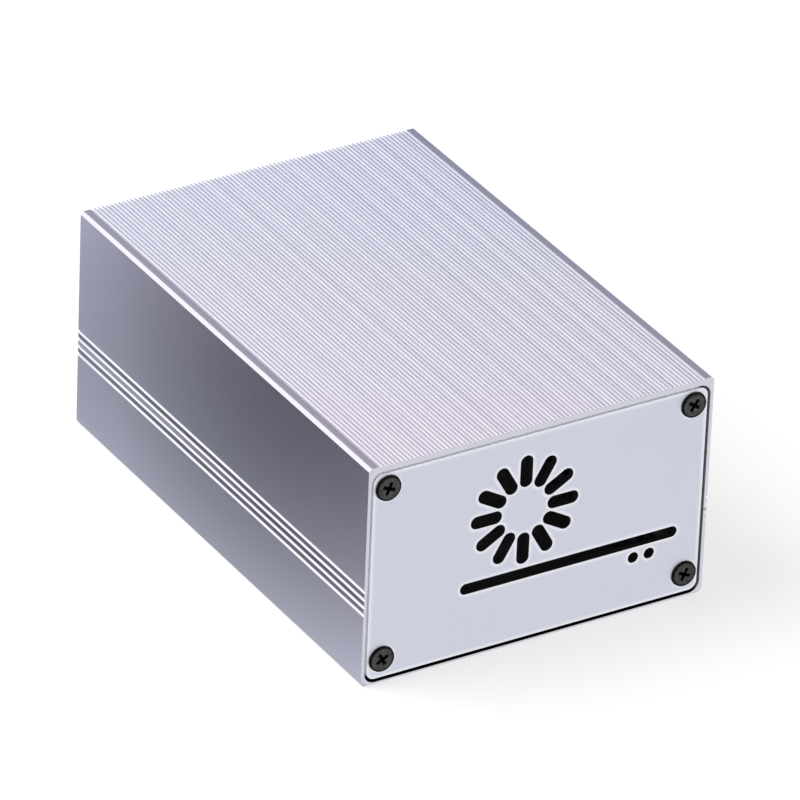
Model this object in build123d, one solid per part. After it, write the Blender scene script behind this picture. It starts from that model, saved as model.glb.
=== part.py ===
from build123d import *
import os

# Single-board computer case: a lower and an upper extruded aluminium shell that slide together along
# a bead and socket at the seam, closed at each end by a flat plate with four countersunk screws.
# Sizes are in millimetres. The case stands on z = 0 and is centred on x = 0 and y = 0. The vented
# plate faces -y and the connector plate faces +y.

# Closed case
case_width = 67.0
case_length = 97.5
case_height = 42.0

# Extruded walls, with chamfered outer corners at the roof and round ones at the floor
side_wall = 1.5
floor_wall = 1.5
roof_wall = 1.9
roof_chamfer = 0.55
floor_corner = 0.9

# Seam between the two shells, with its edges broken so that it shows as a fine line
seam_height = 16.25
seam_break = 0.06

# Fine ridges along the roof, between two plain strips
roof_strip = 1.8
ridge_pitch = 0.79
ridge_crest = 0.3
ridge_depth = 0.33

# Grooves along the side walls, as many below the seam as above it
grooves_each_way = 2
groove_pitch = 1.49
groove_width = 0.7
groove_root = 0.2
groove_depth = 0.3

# Bead on the upper shell and the socket in the lower shell that it slides along
bead_from_side = 2.05
bead_diameter = 1.2
bead_drop = 1.6
bead_neck = 0.7
bead_clearance = 0.15
socket_wall = 0.8
rail_above_seam = 1.2
rail_slope = 1.0

# Guides in the lower shell for the edges of the board
board_width = 56.0
board_thickness = 1.6
board_bottom = 8.5
board_clearance = 0.15
guide_overlap = 1.2
guide_thickness = 1.0

# Screws
screw_from_side = 3.85
screw_from_face = 4.5
screw_diameter = 2.5
screw_length = 8.0
screw_clearance = 0.1
head_diameter = 4.6
head_edge = 0.4
cross_length = 2.5
cross_width = 0.65
cross_depth = 1.0
cross_floor = 1.2

# How far clockwise each screw's cross was left turned, in degrees: the lower two, then the upper two
front_cross_turns = (62, 25, 23, 34)
rear_cross_turns = (10, 55, 80, 30)

# Screw ports in the corners of the shells
port_wall = 1.0
port_slit = 1.1

# Plates, held in shallow pockets milled into the ends of the shells, and the rims round the pockets.
# The screws hold a plate a little high in its pocket, so the gap below it is the widest.
plate_thickness = 1.2
plate_recess = 0.1
plate_gap = 0.5
bottom_gap = 0.6
plate_corner = 1.6
top_rim = 1.15
side_rim = 0.6
bottom_rim = 0.3

# Ring of vent slots in the front plate
vent_x = -2.8
vent_from_top = 16.1
vent_slots = 12
vent_slot_radius = 7.45
vent_slot_length = 6.05
vent_slot_width = 2.45

# Long slot in the front plate and the two holes for the indicator lights, above the board
long_slot_x = 6.5
long_slot_rise = 3.4
long_slot_length = 42.6
long_slot_width = 2.1
light_x = 20.85
light_rise = 0.4
light_spacing = 3.15
light_diameter = 2.05

# Openings in the rear plate: network socket, two stacked sockets and the power socket
network_x = -17.75
network_width = 16.6
network_height = 14.0
stacked_places = (1.0, 19.0)
stacked_width = 14.6
stacked_height = 16.4
opening_below_board_top = 0.3
opening_corner = 0.8
power_x = -17.75
power_from_top = 10.5
power_diameter = 8.0

# Sizes that follow from those above
half_width = case_width / 2
half_length = case_length / 2
inner_x = half_width - side_wall
inner_roof = case_height - roof_wall
board_top = board_bottom + board_thickness
bead_x = half_width - bead_from_side
socket_radius = bead_diameter / 2 + bead_clearance
rail_x = bead_x - socket_radius - socket_wall
rail_below_seam = bead_drop + socket_radius + socket_wall
bore_radius = screw_diameter / 2 + screw_clearance
port_radius = bore_radius + port_wall
screw_x = half_width - screw_from_side
lower_screw_z = screw_from_face
upper_screw_z = case_height - screw_from_face
pocket_depth = plate_recess + plate_thickness
pocket_width = case_width - 2 * side_rim
pocket_height = case_height - top_rim - bottom_rim
pocket_middle = bottom_rim + pocket_height / 2
plate_width = pocket_width - 2 * plate_gap
plate_height = pocket_height - plate_gap - bottom_gap
plate_middle = bottom_rim + bottom_gap + plate_height / 2


def polygon(*corners):
    """Flat shape with straight sides between the given corners."""
    return make_face(Polyline(*corners, close=True))


def block(x_from, x_to, z_from, z_to):
    """Rectangle between two widths and two heights."""
    return polygon((x_from, z_from), (x_to, z_from), (x_to, z_to), (x_from, z_to))


def both_sides(section):
    """A section with its mirror image on the other side of the case."""
    return section + mirror(section, about=Plane.YZ)


def side_grooves(direction):
    """Grooves of both side walls, counted up (1) or down (-1) from the seam."""
    wide = groove_width / 2
    narrow = groove_root / 2
    root_x = half_width - groove_depth
    groove = polygon((half_width, -wide), (half_width, wide), (root_x, narrow), (root_x, -narrow))
    heights = [seam_height + direction * (number + 0.5) * groove_pitch for number in range(grooves_each_way)]
    return [both_sides(Pos(0, z) * groove) for z in heights]


def roof_valleys():
    """Valleys that leave the fine ridges of the roof standing between them."""
    count = int((case_width - 2 * roof_strip) / ridge_pitch)
    half = (ridge_pitch - ridge_crest) / 2
    valley = polygon((-half, case_height), (half, case_height), (0, case_height - ridge_depth))
    return [Pos((number - (count - 1) / 2) * ridge_pitch, 0) * valley for number in range(count)]


def seam_edges(direction):
    """Broken outer edges of one shell at the seam, above it (1) or below it (-1)."""
    edge_z = seam_height + direction * seam_break
    edge = polygon((half_width, seam_height), (half_width - seam_break, seam_height), (half_width, edge_z))
    return both_sides(edge)


def rail(direction, depth):
    """Thickened inside of both side walls along the seam, above it (1) or below it (-1)."""
    end_z = seam_height + direction * depth
    foot_z = end_z + direction * rail_slope
    section = polygon((inner_x, seam_height), (rail_x, seam_height), (rail_x, end_z), (inner_x, foot_z))
    return both_sides(section)


def bead_and_neck(radius, neck):
    """Round bead below the seam with its neck, for the bead itself or for the wider socket."""
    bead_z = seam_height - bead_drop
    half = neck / 2
    section = Pos(bead_x, bead_z) * Circle(radius) + block(bead_x - half, bead_x + half, bead_z, seam_height)
    return both_sides(section)


def screw_ports(screw_z, wall_z):
    """Screw ports in both corners, filled in towards the side wall and the floor or roof."""
    corner = block(screw_x, inner_x, min(screw_z, wall_z), max(screw_z, wall_z))
    return both_sides(Pos(screw_x, screw_z) * Circle(port_radius) + corner)


def port_bores(screw_z, direction):
    """Bores of both screw ports, each with the slit that opens it towards the middle of the case."""
    slit = Pos(port_radius, 0) * Rectangle(2 * port_radius, port_slit)
    turned_slit = Rot(0, 0, 180 - 45 * direction) * slit
    return both_sides(Pos(screw_x, screw_z) * (Circle(bore_radius) + turned_slit))


def board_guides():
    """Guides that carry the board: an arm from each side wall that ends in a slot for its edge."""
    slot_x = board_width / 2 + board_clearance
    tip_x = board_width / 2 - guide_overlap
    slot_z = board_bottom - board_clearance
    slot_top = board_top + board_clearance
    arm = block(tip_x, inner_x, slot_z - guide_thickness, slot_z)
    web = block(slot_x, slot_x + guide_thickness, slot_z, slot_top)
    lip = block(tip_x, slot_x + guide_thickness, slot_top, slot_top + guide_thickness)
    return both_sides(arm + web + lip)


def extruded_shell(section):
    """Shell cut from an extrusion, with the pocket for a plate milled into each end."""
    shell = extrude(Plane.XZ * section, amount=half_length, both=True)
    pocket = RectangleRounded(pocket_width, pocket_height, plate_corner + plate_gap)
    pocket = Plane.XZ * Pos(0, pocket_middle) * pocket
    for end in (-half_length, half_length):
        shell -= Pos(0, end, 0) * extrude(pocket, amount=pocket_depth, both=True)
    return shell


def lower_shell():
    """Lower shell: floor, low side walls, screw ports, board guides and the sockets of the seam."""
    section = block(-half_width, half_width, 0, seam_height)
    section = fillet(section.vertices().sort_by(Axis.Y)[:2], floor_corner)
    section -= block(-inner_x, inner_x, floor_wall, seam_height)
    section += rail(-1, rail_below_seam)
    section += screw_ports(lower_screw_z, floor_wall)
    section += board_guides()
    section -= side_grooves(-1)
    section -= seam_edges(-1)
    section -= bead_and_neck(socket_radius, bead_neck + 2 * bead_clearance)
    section -= port_bores(lower_screw_z, 1)
    return extruded_shell(section)


def upper_shell():
    """Upper shell: ridged roof, side walls, screw ports and the beads of the seam."""
    section = block(-half_width, half_width, seam_height, case_height)
    section = chamfer(section.vertices().sort_by(Axis.Y)[-2:], roof_chamfer)
    section -= block(-inner_x, inner_x, seam_height, inner_roof)
    section += rail(1, rail_above_seam)
    section += screw_ports(upper_screw_z, inner_roof)
    section -= roof_valleys()
    section -= side_grooves(1)
    section -= seam_edges(1)
    section -= port_bores(upper_screw_z, -1)
    section += bead_and_neck(bead_diameter / 2, bead_neck)
    return extruded_shell(section)


def screw_places():
    """Middle of each screw in the plane of the plates: the lower two, then the upper two."""
    return [(x, z) for z in (lower_screw_z, upper_screw_z) for x in (-screw_x, screw_x)]


def cone_and_shank(clearance, length):
    """Turned shape of a countersunk screw below its head's edge, pointing along +y from y = 0."""
    head = head_diameter / 2 + clearance
    shank = screw_diameter / 2 + clearance
    outline = polygon((0, 0), (head, 0), (shank, head - shank), (shank, length), (0, length))
    return revolve(outline, Axis.Y)


def screw(turn):
    """Countersunk screw whose head stands proud by its edge, with a cross recess that narrows inwards."""
    edge = revolve(block(0, head_diameter / 2, -head_edge, 0), Axis.Y)
    wide = cross_length / 2
    narrow = cross_floor / 2
    floor_y = cross_depth - head_edge
    bar = polygon((-wide, -head_edge), (wide, -head_edge), (narrow, floor_y), (-narrow, floor_y))
    bar = extrude(bar, amount=cross_width / 2, both=True)
    cross = bar + Rot(0, 90, 0) * bar
    return edge + cone_and_shank(0, screw_length) - Rot(0, turn, 0) * cross


def end_screws(turns):
    """The four screws of one plate, placed at the front end."""
    face_y = plate_recess - half_length
    return [Pos(x, face_y, z) * screw(turn) for (x, z), turn in zip(screw_places(), turns)]


def end_plate(cut_outs):
    """Plate with its four countersunk holes and the given cut-outs, placed in the front pocket."""
    outline = Pos(0, plate_middle) * RectangleRounded(plate_width, plate_height, plate_corner)
    plate = extrude(Plane.XZ * (outline - cut_outs), amount=-plate_thickness)
    plate -= [Pos(x, 0, z) * cone_and_shank(screw_clearance, screw_length) for x, z in screw_places()]
    return Pos(0, plate_recess - half_length, 0) * plate


def front_cut_outs():
    """Ring of vent slots, the long slot and the two holes for the indicator lights."""
    vent_slot = Pos(vent_slot_radius, 0) * SlotOverall(vent_slot_length, vent_slot_width)
    vent_centre = Pos(vent_x, case_height - vent_from_top)
    vent = [vent_centre * Rot(0, 0, number * 360 / vent_slots) * vent_slot for number in range(vent_slots)]
    long_slot = Pos(long_slot_x, board_top + long_slot_rise) * SlotOverall(long_slot_length, long_slot_width)
    light_places = (light_x - light_spacing / 2, light_x + light_spacing / 2)
    lights = [Pos(x, board_top + light_rise) * Circle(light_diameter / 2) for x in light_places]
    return vent + [long_slot] + lights


def socket_opening(x, width, height):
    """Opening for a socket that stands on the board."""
    bottom = board_top - opening_below_board_top
    return Pos(x, bottom + height / 2) * RectangleRounded(width, height, opening_corner)


def rear_cut_outs():
    """Openings for the network socket, the two stacked sockets and the power socket."""
    network = socket_opening(network_x, network_width, network_height)
    stacked = [socket_opening(x, stacked_width, stacked_height) for x in stacked_places]
    power = Pos(power_x, case_height - power_from_top) * Circle(power_diameter / 2)
    return [network, power] + stacked


def at_rear(shape):
    """A shape made for the front end, turned round to the rear end."""
    return Rot(0, 0, 180) * shape


nodes = {
    "lower_shell": lower_shell(),
    "upper_shell": upper_shell(),
    "front_plate": end_plate(front_cut_outs()),
    "rear_plate": at_rear(end_plate(rear_cut_outs())),
    "front_plate_screws": Compound(children=end_screws(front_cross_turns)),
    "rear_plate_screws": Compound(children=[at_rear(one) for one in end_screws(rear_cross_turns)]),
}

os.makedirs("parts", exist_ok=True)
for name, shape in nodes.items():
    export_step(shape, f"parts/{name}.step")
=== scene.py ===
from math import pi, radians

import bpy
from mathutils import Matrix, Vector


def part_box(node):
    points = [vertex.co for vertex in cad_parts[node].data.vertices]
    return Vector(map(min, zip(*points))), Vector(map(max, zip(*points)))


# Single-board computer case on a pale floor. Everything is in metres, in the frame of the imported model.
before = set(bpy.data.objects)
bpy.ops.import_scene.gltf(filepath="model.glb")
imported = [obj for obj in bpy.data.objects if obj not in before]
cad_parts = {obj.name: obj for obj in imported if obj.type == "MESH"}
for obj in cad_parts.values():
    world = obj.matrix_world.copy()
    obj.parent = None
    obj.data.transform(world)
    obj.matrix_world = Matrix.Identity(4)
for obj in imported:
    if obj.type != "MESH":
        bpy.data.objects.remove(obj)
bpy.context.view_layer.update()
scene = bpy.context.scene

# Camera, at the photograph's viewing angle
CAMERA_PLACE = Vector((-0.68963, -1.11095, 0.78085))
CAMERA_AZIMUTH = radians(31.9125)
CAMERA_ELEVATION = radians(30.1576)
CAMERA_ROLL = radians(2.4022)
CAMERA_LENS = 399.20
CAMERA_SENSOR = 36.0
CAMERA_CLIP = 0.01

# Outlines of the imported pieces, and the distance within which a point counts as on a surface
HALF_WIDTH, HALF_LENGTH, CASE_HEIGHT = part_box("upper_shell")[1]
SEAM_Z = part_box("lower_shell")[1].z
PLATE_LOW, PLATE_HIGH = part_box("front_plate")
HEAD_FACE = -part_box("front_plate_screws")[0].y
SKIN = 0.00002

# Roof: its chamfers, its plain side strips, and the height that all of it lies above
CHAMFER_X = HALF_WIDTH - 0.00055
STRIP_X = HALF_WIDTH - 0.0018
ROOF_Z = CASE_HEIGHT - 0.0007

# Seam: how far up and down its line, the middle land that it runs in and all three lands reach,
# and the stretch along the case over which painted light makes the middle land lighter toward the back
SEAM_REACH = 0.0001
MIDDLE_REACH = 0.0006
LAND_REACH = 0.00188
HIGHLIGHT_FROM_Y = -0.016
HIGHLIGHT_TO_Y = 0.014

# Pockets that hold the plates: their sides, floors and lowest point, the right edge of their stretch of
# painted light, and the heights between which they turn from painted black shade to painted light
POCKET_X = PLATE_HIGH.x + 0.0005
POCKET_Y = -PLATE_HIGH.y
POCKET_Z = 0.00025
LIGHT_X = 0.0305
GAP_TOP = 0.0015
GAP_BOTTOM = 0.0007

# Plates: their middle height, half their height, and a box round the holes of the front one
PLATE_Z = (PLATE_HIGH.z + PLATE_LOW.z) / 2
PLATE_RISE = (PLATE_HIGH.z - PLATE_LOW.z) / 2
HOLES_X = 0.028
HOLES_Z = (0.005, 0.0395)

# Screws: the distances of their axes from the middle of the case, and the rim of the heads' worn flat
SCREW_X = HALF_WIDTH - 0.00385
SCREW_RISE = CASE_HEIGHT / 2 - 0.0045
FLAT_OUTER = 0.00215
FLAT_INNER = 0.00185

# Far end, where painted shade makes the walls darker toward their foot: where that starts, and the height
# that it fades in over, so that the underside stays light
FAR_END_Y = 0.034
FOOT_Z = 0.002

# Room: its light on matt surfaces, how much of the floor's look is plain white, the floor's opening, and how
# far the cards lie above the floor and the front one before the case
ROOM_LIGHT = 0.55
FLOOR_SIZE = 6.0
FLOOR_COLOUR = (0.9, 0.9, 0.9, 1)
FLOOR_WHITE = 0.65
FLOOR_HOLE_X = HALF_WIDTH - 0.001
FLOOR_HOLE_Y = HALF_LENGTH - 0.00025
CARD_GAP = 0.0001

# Colours of the shells. The pairs run from the front end to the back end.
FOOT_TINTS = ((0.805, 0.795, 0.865, 1), (0.765, 0.79, 0.88, 1))
SHOULDER_TINTS = ((0.82, 0.755, 0.905, 1), (0.765, 0.765, 0.88, 1))
ROOF_TINTS = ((0.85, 0.775, 0.873, 1), (0.775, 0.80, 0.93, 1))
FAR_END_SHADE_TINT = (0.2, 0.25, 0.2, 1)
RIGHT_TINT = (0, 0.25, 0.5, 1)
CHAMFER_COLOUR = (0.745, 0.73, 0.79, 1)
CUT_COLOUR = (0.67, 0.67, 0.75, 1)
SEAM_COLOUR = (0.01, 0.01, 0.02, 1)
# Painted shade inside the case, and painted light on the pocket walls
INSIDE_SHADE = (0.24, 0.24, 0.26, 1)
POCKET_LIGHT_COLOUR = (0.93, 0.95, 1, 1)

# Colours of the plates and screws. The pairs are the two ends of a mottled surface.
PLATE_TINTS = ((0.665, 0.685, 0.775, 1), (0.685, 0.70, 0.79, 1))
HIGHLIGHT_COLOUR = (0.93, 0.93, 0.97, 1)
EDGE_COLOUR = (0.92, 0.94, 1, 1)
HOLE_SHADE = (0.025, 0.025, 0.025, 1)
HEAD_TINTS = ((0.016, 0.016, 0.016, 1), (0.072, 0.071, 0.067, 1))

# Plain colours, one of them for the coating of the screws and the painted shade in the gap under the plates
DEEP_BLACK = (0.004, 0.004, 0.005, 1)
WHITE = (1, 1, 1, 1)
BLACK = (0, 0, 0, 1)

# Finish of the shells: the uneven share of their drift of tint, the part of the noise that makes streaks,
# how much painted highlight lightens the ridges' crests and how much rougher they are, how dark the lands and
# the seam's line are, and the part of that darkness that painted light leaves in the middle land toward the
# back
DRIFT_SHARE = 0.2
STREAK_RANGE = (0.35, 0.65)
RIDGE_HIGHLIGHT = 0.6
RIDGE_ROUGHNESS = 0.15
LAND_SHADE = 0.45
SEAM_SHADE = 0.9
MIDDLE_FADE = 0.4

# Finish of the plates and screws: how bright the painted highlight round the holes is and how far it reaches,
# and the part of the noise that wears the heads grey
EDGE_HIGHLIGHT = 0.8
EDGE_REACH = 0.0011
HEAD_WEAR_RANGE = (0.35, 0.7)


class Graph:
    """A node tree under construction, with short ways to add and join its nodes."""

    def __init__(self, owner):
        owner.use_nodes = True
        self.tree = owner.node_tree
        self.tree.nodes.clear()

    def add(self, kind, inputs=None, **settings):
        """Adds a node. Inputs are numbers, colours or the outputs of other nodes."""
        node = self.tree.nodes.new(kind)
        for name, value in settings.items():
            setattr(node, name, value)
        for name, value in (inputs or {}).items():
            self.feed(node.inputs[name], value)
        return node

    def feed(self, socket, value):
        """Links an output to a socket, or sets the socket's own value."""
        if isinstance(value, bpy.types.NodeSocket):
            self.tree.links.new(value, socket)
        else:
            socket.default_value = value

    def finish(self, output_kind, surface):
        """Joins a shader to the tree's output."""
        output = self.add(output_kind)
        self.feed(output.inputs["Surface"], surface.outputs[0])

    def math(self, operation, first, second=0.0, third=0.0, clamp=False):
        """Result of an operation on up to three numbers."""
        inputs = {0: first, 1: second, 2: third}
        return self.add("ShaderNodeMath", inputs, operation=operation, use_clamp=clamp).outputs[0]

    def times(self, first, second):
        """Product of two numbers."""
        return self.math("MULTIPLY", first, second)

    def above(self, value, limit):
        """1 where a number is above a limit, and 0 elsewhere."""
        return self.math("GREATER_THAN", value, limit)

    def below(self, value, limit):
        """1 where a number is below a limit, and 0 elsewhere."""
        return self.math("LESS_THAN", value, limit)

    def near(self, value, centre, reach):
        """1 where a number is within reach of a centre, and 0 elsewhere."""
        return self.math("COMPARE", value, centre, reach)

    def between(self, value, start, end):
        """1 where a number is between two others, and 0 elsewhere."""
        return self.near(value, (start + end) / 2, (end - start) / 2)

    def blend(self, factor, first, second):
        """Colour between two colours."""
        node = self.add("ShaderNodeMix", data_type="RGBA")
        self.feed(node.inputs["Factor"], factor)
        self.feed(node.inputs[6], first)
        self.feed(node.inputs[7], second)
        return node.outputs[2]

    def ramp(self, value, start, end, low=0.0, high=1.0):
        """Number that runs from low to high as the value runs from start to end."""
        inputs = {"Value": value, "From Min": start, "From Max": end, "To Min": low, "To Max": high}
        return self.add("ShaderNodeMapRange", inputs).outputs["Result"]

    def place(self):
        """The three coordinates of the shaded point in the frame."""
        point = self.add("ShaderNodeTexCoord").outputs["Object"]
        return self.add("ShaderNodeSeparateXYZ", {0: point}).outputs[:3]

    def noise(self, scale, detail=2.0, stretch=(1, 1, 1)):
        """Noise in the frame's own coordinates. A stretch below 1 draws it out along that axis."""
        point = self.add("ShaderNodeTexCoord").outputs["Object"]
        mapped = self.add("ShaderNodeMapping", {"Vector": point, "Scale": stretch})
        node = self.add("ShaderNodeTexNoise", {"Vector": mapped.outputs[0], "Scale": scale, "Detail": detail})
        return node.outputs["Fac"]

    def edges(self, radius):
        """1 along the piece's edges and 0 away from them."""
        rounded = self.add("ShaderNodeBevel", {"Radius": radius}, samples=6).outputs[0]
        flat = self.add("ShaderNodeNewGeometry").outputs["True Normal"]
        likeness = self.add("ShaderNodeVectorMath", {0: rounded, 1: flat}, operation="DOT_PRODUCT")
        return self.ramp(likeness.outputs["Value"], start=0.9985, end=0.98)

    def bump(self, height, strength, distance):
        """Surface direction over a fine relief."""
        inputs = {"Height": height, "Strength": strength, "Distance": distance}
        return self.add("ShaderNodeBump", inputs).outputs[0]

    def shown_ray(self):
        """1 for what the camera, gloss and glass see of the room, and 0 for the light on surfaces."""
        path = self.add("ShaderNodeLightPath")
        seen = self.math("ADD", path.outputs["Is Camera Ray"], path.outputs["Is Glossy Ray"])
        return self.math("ADD", seen, path.outputs["Is Transmission Ray"], clamp=True)


def new_material(name):
    """An empty material, and the graph that its nodes go into."""
    material = bpy.data.materials.new(name)
    return material, Graph(material)


def anodised_colour(graph, y, z, on_top):
    """Tint of the anodising, which drifts along the case and up its walls and is its own on the roof, with
    painted shade at the foot of the far end."""
    drift = graph.noise(scale=60, stretch=(1, 0.3, 1))
    steady = graph.ramp(y, -HALF_LENGTH, HALF_LENGTH, high=1 - DRIFT_SHARE)
    along = graph.math("ADD", steady, graph.times(drift, DRIFT_SHARE))
    # Painted shade: the far end of the walls is darker toward its foot.
    far_end_shade = graph.times(graph.ramp(y, FAR_END_Y, HALF_LENGTH, high=0.2), graph.ramp(z, 0.0, FOOT_Z))
    foot = graph.blend(far_end_shade, graph.blend(along, *FOOT_TINTS), FAR_END_SHADE_TINT)
    wall = graph.blend(graph.ramp(z, 0.0, CASE_HEIGHT), foot, graph.blend(along, *SHOULDER_TINTS))
    return graph.blend(on_top, wall, graph.blend(along, *ROOF_TINTS))


def roof_finish(graph, colour, x, on_top, crest):
    """Adds the roof's finish to a colour: cooler to the right, with streaks from front to back, and with a
    painted highlight along the left strip and on the ridges' crests."""
    cool = graph.times(graph.ramp(x, -HALF_WIDTH, HALF_WIDTH, high=0.1), on_top)
    colour = graph.blend(cool, colour, RIGHT_TINT)
    # Painted highlight: the left strip of the roof is lighter.
    strip_highlight = graph.times(graph.ramp(x, -CHAMFER_X, -STRIP_X, low=0.3, high=0.0), on_top)
    colour = graph.blend(strip_highlight, colour, WHITE)
    streaks = graph.noise(scale=620, stretch=(1, 0.002, 1))
    strength = graph.times(graph.ramp(x, -HALF_WIDTH, HALF_WIDTH, low=0.8, high=1.4), on_top)
    shade = graph.times(graph.ramp(streaks, *STREAK_RANGE, low=0.08, high=0.0), strength)
    colour = graph.blend(shade, colour, BLACK)
    # Painted highlight: the ridges' crests are lightened toward white, more or less along the streaks.
    swing = graph.times(graph.ramp(streaks, *STREAK_RANGE, low=-0.25, high=0.25), strength)
    crest_highlight = graph.times(crest, graph.math("ADD", swing, RIDGE_HIGHLIGHT))
    return graph.blend(crest_highlight, colour, WHITE)


def seam_finish(graph, colour, x, y, z, cut_end):
    """Darkens the lands between the grooves and draws the seam's dark line. Painted light makes the middle
    land and the line fainter toward the back, and the cut ends show the line only on the right."""
    on_side = graph.above(graph.math("ABSOLUTE", x), HALF_WIDTH - SKIN / 2)
    land = graph.times(on_side, graph.near(z, SEAM_Z, LAND_REACH))
    left_end = graph.times(cut_end, graph.below(x, 0.0))
    seam = graph.math("SUBTRACT", graph.near(z, SEAM_Z, SEAM_REACH), left_end, clamp=True)
    shade = graph.math("MAXIMUM", graph.times(land, LAND_SHADE), graph.times(seam, SEAM_SHADE))
    # Painted light: toward the back the middle land and the seam's line lose much of their darkness.
    lip_highlight = graph.times(graph.near(z, SEAM_Z, MIDDLE_REACH), graph.ramp(y, HIGHLIGHT_FROM_Y, HIGHLIGHT_TO_Y))
    shade = graph.times(shade, graph.ramp(lip_highlight, 0, 1, low=1.0, high=MIDDLE_FADE))
    return graph.blend(shade, colour, SEAM_COLOUR)


def inside_colour(graph, x, z, end):
    """Colour inside the case: painted shade throughout, pocket walls with painted light except on the right,
    and painted black shade in the gap below.
    """
    pocket = graph.above(end, POCKET_Y - SKIN)
    # Painted light on the pocket walls, except on the right side and low down.
    light = graph.times(pocket, graph.below(x, LIGHT_X))
    light = graph.times(light, graph.ramp(z, GAP_BOTTOM, GAP_TOP))
    colour = graph.blend(light, INSIDE_SHADE, POCKET_LIGHT_COLOUR)
    # Painted shade: the gap under the plates is black.
    gap = graph.times(pocket, graph.ramp(z, GAP_TOP, GAP_BOTTOM))
    return graph.blend(gap, colour, DEEP_BLACK)


def shell_metal():
    """Satin anodised aluminium with fine lengthwise extrusion lines, with painted shade inside and darker by
    the seam.
    """
    material, graph = new_material("shell_metal")
    x, y, z = graph.place()
    side = graph.math("ABSOLUTE", x)
    end = graph.math("ABSOLUTE", y)
    on_top = graph.above(z, ROOF_Z)
    crest = graph.times(graph.above(z, CASE_HEIGHT - SKIN), graph.below(side, STRIP_X))
    cut_end = graph.above(end, HALF_LENGTH - SKIN)
    colour = anodised_colour(graph, y, z, on_top)
    colour = roof_finish(graph, colour, x, on_top, crest)
    colour = graph.blend(graph.times(on_top, graph.above(side, CHAMFER_X)), colour, CHAMFER_COLOUR)
    colour = graph.blend(cut_end, colour, CUT_COLOUR)
    colour = seam_finish(graph, colour, x, y, z, cut_end)
    # Inside the case the colour is painted shade and light, and the surface is matt so that it stays dark.
    between_ends = graph.between(y, -HALF_LENGTH + SKIN, HALF_LENGTH - SKIN)
    within_walls = graph.times(graph.near(x, 0.0, POCKET_X + SKIN), between_ends)
    inside = graph.times(within_walls, graph.between(z, POCKET_Z, ROOF_Z))
    lines = graph.noise(scale=4000, stretch=(1, 0.01, 1))
    satin = graph.ramp(lines, 0, 1, low=0.25, high=0.28)
    surface = graph.add("ShaderNodeBsdfPrincipled", {
        "Base Color": graph.blend(inside, colour, inside_colour(graph, x, z, end)),
        "Metallic": graph.math("SUBTRACT", 1.0, inside),
        "Roughness": graph.math("ADD", satin, graph.times(crest, RIDGE_ROUGHNESS)),
        "Specular IOR Level": graph.ramp(inside, 0, 1, low=0.5, high=0.0),
        "Normal": graph.bump(lines, strength=0.04, distance=0.00002),
    })
    graph.finish("ShaderNodeOutputMaterial", surface)
    return material


def plate_metal():
    """Matte anodised aluminium with a blasted grain, with a painted highlight round its holes and painted
    shade inside them.
    """
    material, graph = new_material("plate_metal")
    x, y, z = graph.place()
    side = graph.math("ABSOLUTE", x)
    rise = graph.math("ABSOLUTE", graph.math("SUBTRACT", z, PLATE_Z))
    face = graph.blend(graph.noise(scale=40), *PLATE_TINTS)
    # Painted highlight along the edges round the holes.
    face = graph.blend(graph.times(graph.edges(EDGE_REACH), EDGE_HIGHLIGHT), face, HIGHLIGHT_COLOUR)
    edge_x = graph.above(side, PLATE_HIGH.x - SKIN)
    edge = graph.math("MAXIMUM", edge_x, graph.above(rise, PLATE_RISE - SKIN))
    colour = graph.blend(edge, face, EDGE_COLOUR)
    # Painted shade: the walls of the front plate's holes are nearly black and matt.
    within_holes = graph.times(graph.near(x, 0.0, HOLES_X), graph.between(y, PLATE_LOW.y + SKIN, 0.0))
    holes = graph.times(within_holes, graph.between(z, *HOLES_Z))
    dull = graph.math("MAXIMUM", holes, edge)
    grain = graph.noise(scale=5000)
    surface = graph.add("ShaderNodeBsdfPrincipled", {
        "Base Color": graph.blend(holes, colour, HOLE_SHADE),
        "Metallic": graph.math("SUBTRACT", 1.0, dull),
        "Roughness": graph.ramp(grain, 0, 1, low=0.45, high=0.55),
        "Specular IOR Level": graph.ramp(dull, 0, 1, low=0.5, high=0.0),
        "Normal": graph.bump(grain, strength=0.2, distance=0.00003),
    })
    graph.finish("ShaderNodeOutputMaterial", surface)
    return material


def screw_metal():
    """Black coated steel, worn grey on the flat of the head and black in the cross and round the edge, where
    the dark rim is also painted shade from the countersink.
    """
    material, graph = new_material("screw_metal")
    x, y, z = graph.place()
    rise = graph.math("ABSOLUTE", graph.math("SUBTRACT", z, CASE_HEIGHT / 2))
    from_axis_x = graph.math("SUBTRACT", graph.math("ABSOLUTE", x), SCREW_X)
    from_axis_z = graph.math("SUBTRACT", rise, SCREW_RISE)
    spot = graph.add("ShaderNodeCombineXYZ", {0: from_axis_x, 1: from_axis_z}).outputs[0]
    radius = graph.add("ShaderNodeVectorMath", {0: spot}, operation="LENGTH").outputs["Value"]
    on_head = graph.above(graph.math("ABSOLUTE", y), HEAD_FACE - SKIN)
    # Beyond the worn flat the head stays black with little gloss: this is the coating, and also painted shade
    # round the head.
    flat = graph.times(on_head, graph.ramp(radius, FLAT_OUTER, FLAT_INNER))
    grain = graph.noise(scale=1100, detail=5.0)
    worn = graph.blend(graph.ramp(grain, *HEAD_WEAR_RANGE), *HEAD_TINTS)
    surface = graph.add("ShaderNodeBsdfPrincipled", {
        "Base Color": graph.blend(flat, DEEP_BLACK, worn),
        "Metallic": 0.0,
        "Roughness": graph.ramp(grain, 0, 1, low=0.4, high=0.55),
        "Specular IOR Level": graph.ramp(flat, 0, 1, low=0.05, high=0.35),
    })
    graph.finish("ShaderNodeOutputMaterial", surface)
    return material


def card_glow(name, colour):
    """Even glow of a studio card."""
    material, graph = new_material(name)
    glow = graph.add("ShaderNodeEmission", {"Color": colour, "Strength": 1.0})
    graph.finish("ShaderNodeOutputMaterial", glow)
    return material


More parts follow.
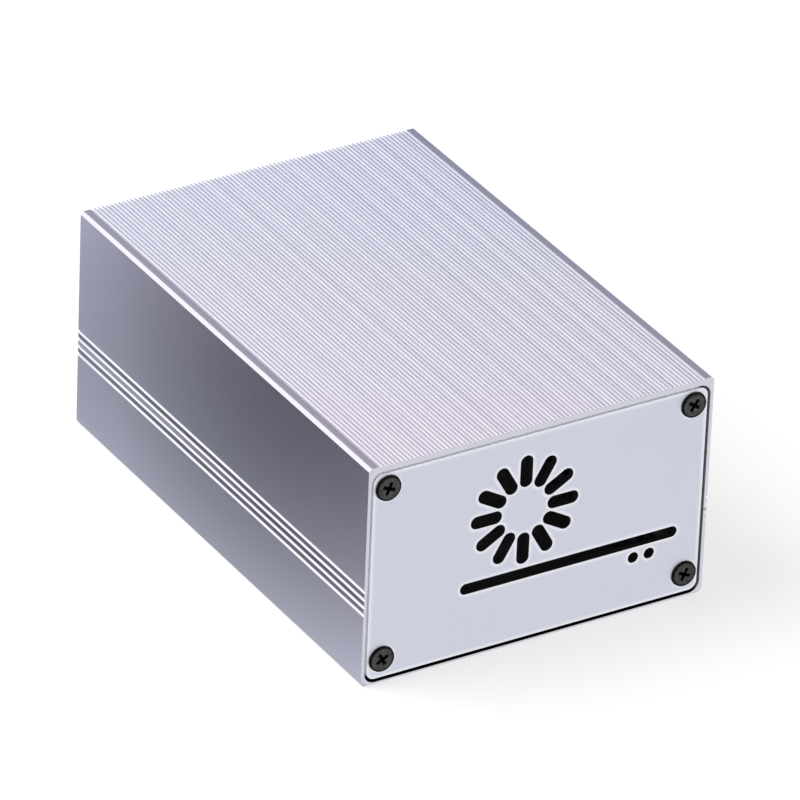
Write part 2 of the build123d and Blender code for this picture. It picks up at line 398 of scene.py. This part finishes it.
def pool_glow(name, centre, turn, reach, low, high, colour):
    """Glow of a floor card that is darkest at a centre and brightens outwards in an ellipse."""
    material, graph = new_material(name)
    point = graph.add("ShaderNodeTexCoord").outputs["Object"]
    inputs = {"Vector": point, "Location": centre, "Rotation": (0, 0, turn), "Scale": reach}
    spot = graph.add("ShaderNodeMapping", inputs, vector_type="TEXTURE").outputs[0]
    square = graph.add("ShaderNodeVectorMath", {0: spot, 1: spot}, operation="DOT_PRODUCT").outputs["Value"]
    level = graph.math("MINIMUM", graph.math("ADD", square, low), high)
    glow = graph.add("ShaderNodeEmission", {"Color": colour, "Strength": level})
    graph.finish("ShaderNodeOutputMaterial", glow)
    return material


def sheet(name, corners, faces, material):
    """Flat sheet of four-cornered faces."""
    mesh = bpy.data.meshes.new(name)
    mesh.from_pydata(corners, [], faces)
    mesh.materials.append(material)
    built = bpy.data.objects.new(name, mesh)
    scene.collection.objects.link(built)
    return built


def rectangle(x_from, x_to, y_from, y_to, height):
    """Corners of a level rectangle."""
    return [(x_from, y_from, height), (x_to, y_from, height), (x_to, y_to, height), (x_from, y_to, height)]


def studio_card(name, direction, distance, width, height, colour):
    """Card that only reflections see, facing the case from one direction."""
    towards = Vector(direction).normalized()
    across = towards.cross(Vector((0, 0, 1))).normalized() * width / 2
    up = across.normalized().cross(towards) * height / 2
    middle = towards * distance
    corners = [middle - across - up, middle + across - up, middle + across + up, middle - across + up]
    reflect_only(sheet(name, corners, [(0, 1, 2, 3)], card_glow(name + "_glow", colour)))


def floor_card(name, x_from, x_to, y_from, y_to, material):
    """Card on the floor that only reflections see."""
    corners = rectangle(x_from, x_to, y_from, y_to, CARD_GAP)
    reflect_only(sheet(name, corners, [(0, 1, 2, 3)], material))


def reflect_only(card):
    """Keeps a studio card out of the picture and out of the light on matt surfaces."""
    card.visible_camera = False
    card.visible_diffuse = False
    card.visible_transmission = False
    card.visible_shadow = False


def soft_lamp(name, direction, distance, size, watts):
    """Square soft lamp that faces the case from one direction."""
    data = bpy.data.lights.new(name, "AREA")
    data.size = size
    data.energy = watts
    lamp = bpy.data.objects.new(name, data)
    towards = Vector(direction).normalized()
    lamp.location = towards * distance
    lamp.rotation_euler = towards.to_track_quat("Z", "Y").to_euler()
    scene.collection.objects.link(lamp)
    return lamp


def make_world():
    """White room, dimmer as a light than it looks."""
    scene.world = bpy.data.worlds.new("room")
    graph = Graph(scene.world)
    level = graph.ramp(graph.shown_ray(), 0, 1, low=ROOM_LIGHT, high=1.0)
    glow = graph.add("ShaderNodeBackground", {"Color": WHITE, "Strength": level})
    graph.finish("ShaderNodeOutputWorld", glow)


def make_floor():
    """Pale floor that shows nearly white and keeps a faint shadow. It is open under the middle of the case,
    so that the underside shows from below."""
    material, graph = new_material("floor_paper")
    paper = graph.add("ShaderNodeBsdfDiffuse", {"Color": FLOOR_COLOUR})
    white = graph.add("ShaderNodeEmission", {"Color": WHITE, "Strength": 1.0})
    share = graph.times(graph.shown_ray(), FLOOR_WHITE)
    both = graph.add("ShaderNodeMixShader", {0: share, 1: paper.outputs[0], 2: white.outputs[0]})
    graph.finish("ShaderNodeOutputMaterial", both)
    half = FLOOR_SIZE / 2
    outer = rectangle(-half, half, -half, half, 0)
    inner = rectangle(-FLOOR_HOLE_X, FLOOR_HOLE_X, -FLOOR_HOLE_Y, FLOOR_HOLE_Y, 0)
    sides = [(0, 1, 5, 4), (1, 2, 6, 5), (2, 3, 7, 6), (3, 0, 4, 7)]
    sheet("floor", outer + inner, sides, material)


def make_camera():
    """Camera at the photograph's viewing angle."""
    data = bpy.data.cameras.new("camera")
    data.lens = CAMERA_LENS
    data.sensor_width = CAMERA_SENSOR
    data.clip_start = CAMERA_CLIP
    camera = bpy.data.objects.new("camera", data)
    turn = Matrix.Rotation(-CAMERA_AZIMUTH, 4, "Z") @ Matrix.Rotation(pi / 2 - CAMERA_ELEVATION, 4, "X")
    camera.matrix_world = Matrix.Translation(CAMERA_PLACE) @ turn @ Matrix.Rotation(CAMERA_ROLL, 4, "Z")
    scene.collection.objects.link(camera)
    scene.camera = camera


def make_lights():
    """A window that leaves matt surfaces unlit, a key lamp that gloss doesn't show, and a card behind."""
    window = soft_lamp("window", direction=(-0.5, 0.745, 0.42), distance=0.7, size=0.6, watts=0.33)
    window.visible_diffuse = False
    key = soft_lamp("key", direction=(-0.48, 0.25, 0.84), distance=0.8, size=0.5, watts=6.5)
    key.visible_glossy = False
    studio_card("back_card", direction=(0.45, 0.745, 0.49), distance=0.8, width=0.7, height=0.7,
                colour=(0.38, 0.375, 0.43, 1))


def make_floor_cards():
    """Cards on the floor left and in front of the case, for the reflections in its wall and front."""
    side_glow = pool_glow("pool_glow", centre=(-0.0859, 0.0461, 0), turn=radians(22.3),
                          reach=(0.0747, 0.1543, 1), low=0.063, high=0.62, colour=(0.985, 1.01, 1.14, 1))
    floor_card("side_card", x_from=-0.30, x_to=-FLOOR_HOLE_X, y_from=-0.2, y_to=0.45, material=side_glow)
    front_glow = card_glow("front_glow", (0.93, 0.93, 0.93, 1))
    floor_card("front_card", x_from=-0.2, x_to=0.25, y_from=-0.35, y_to=-HALF_LENGTH - CARD_GAP,
               material=front_glow)


def paint(names, material):
    """Gives some CAD nodes a finished material."""
    for name in names:
        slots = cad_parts[name].data.materials
        slots.clear()
        slots.append(material)


make_camera()
make_world()
make_floor()
make_lights()
make_floor_cards()

paint(["lower_shell", "upper_shell"], shell_metal())
paint(["front_plate", "rear_plate"], plate_metal())
paint(["front_plate_screws", "rear_plate_screws"], screw_metal())

scene.view_settings.view_transform = "Standard"
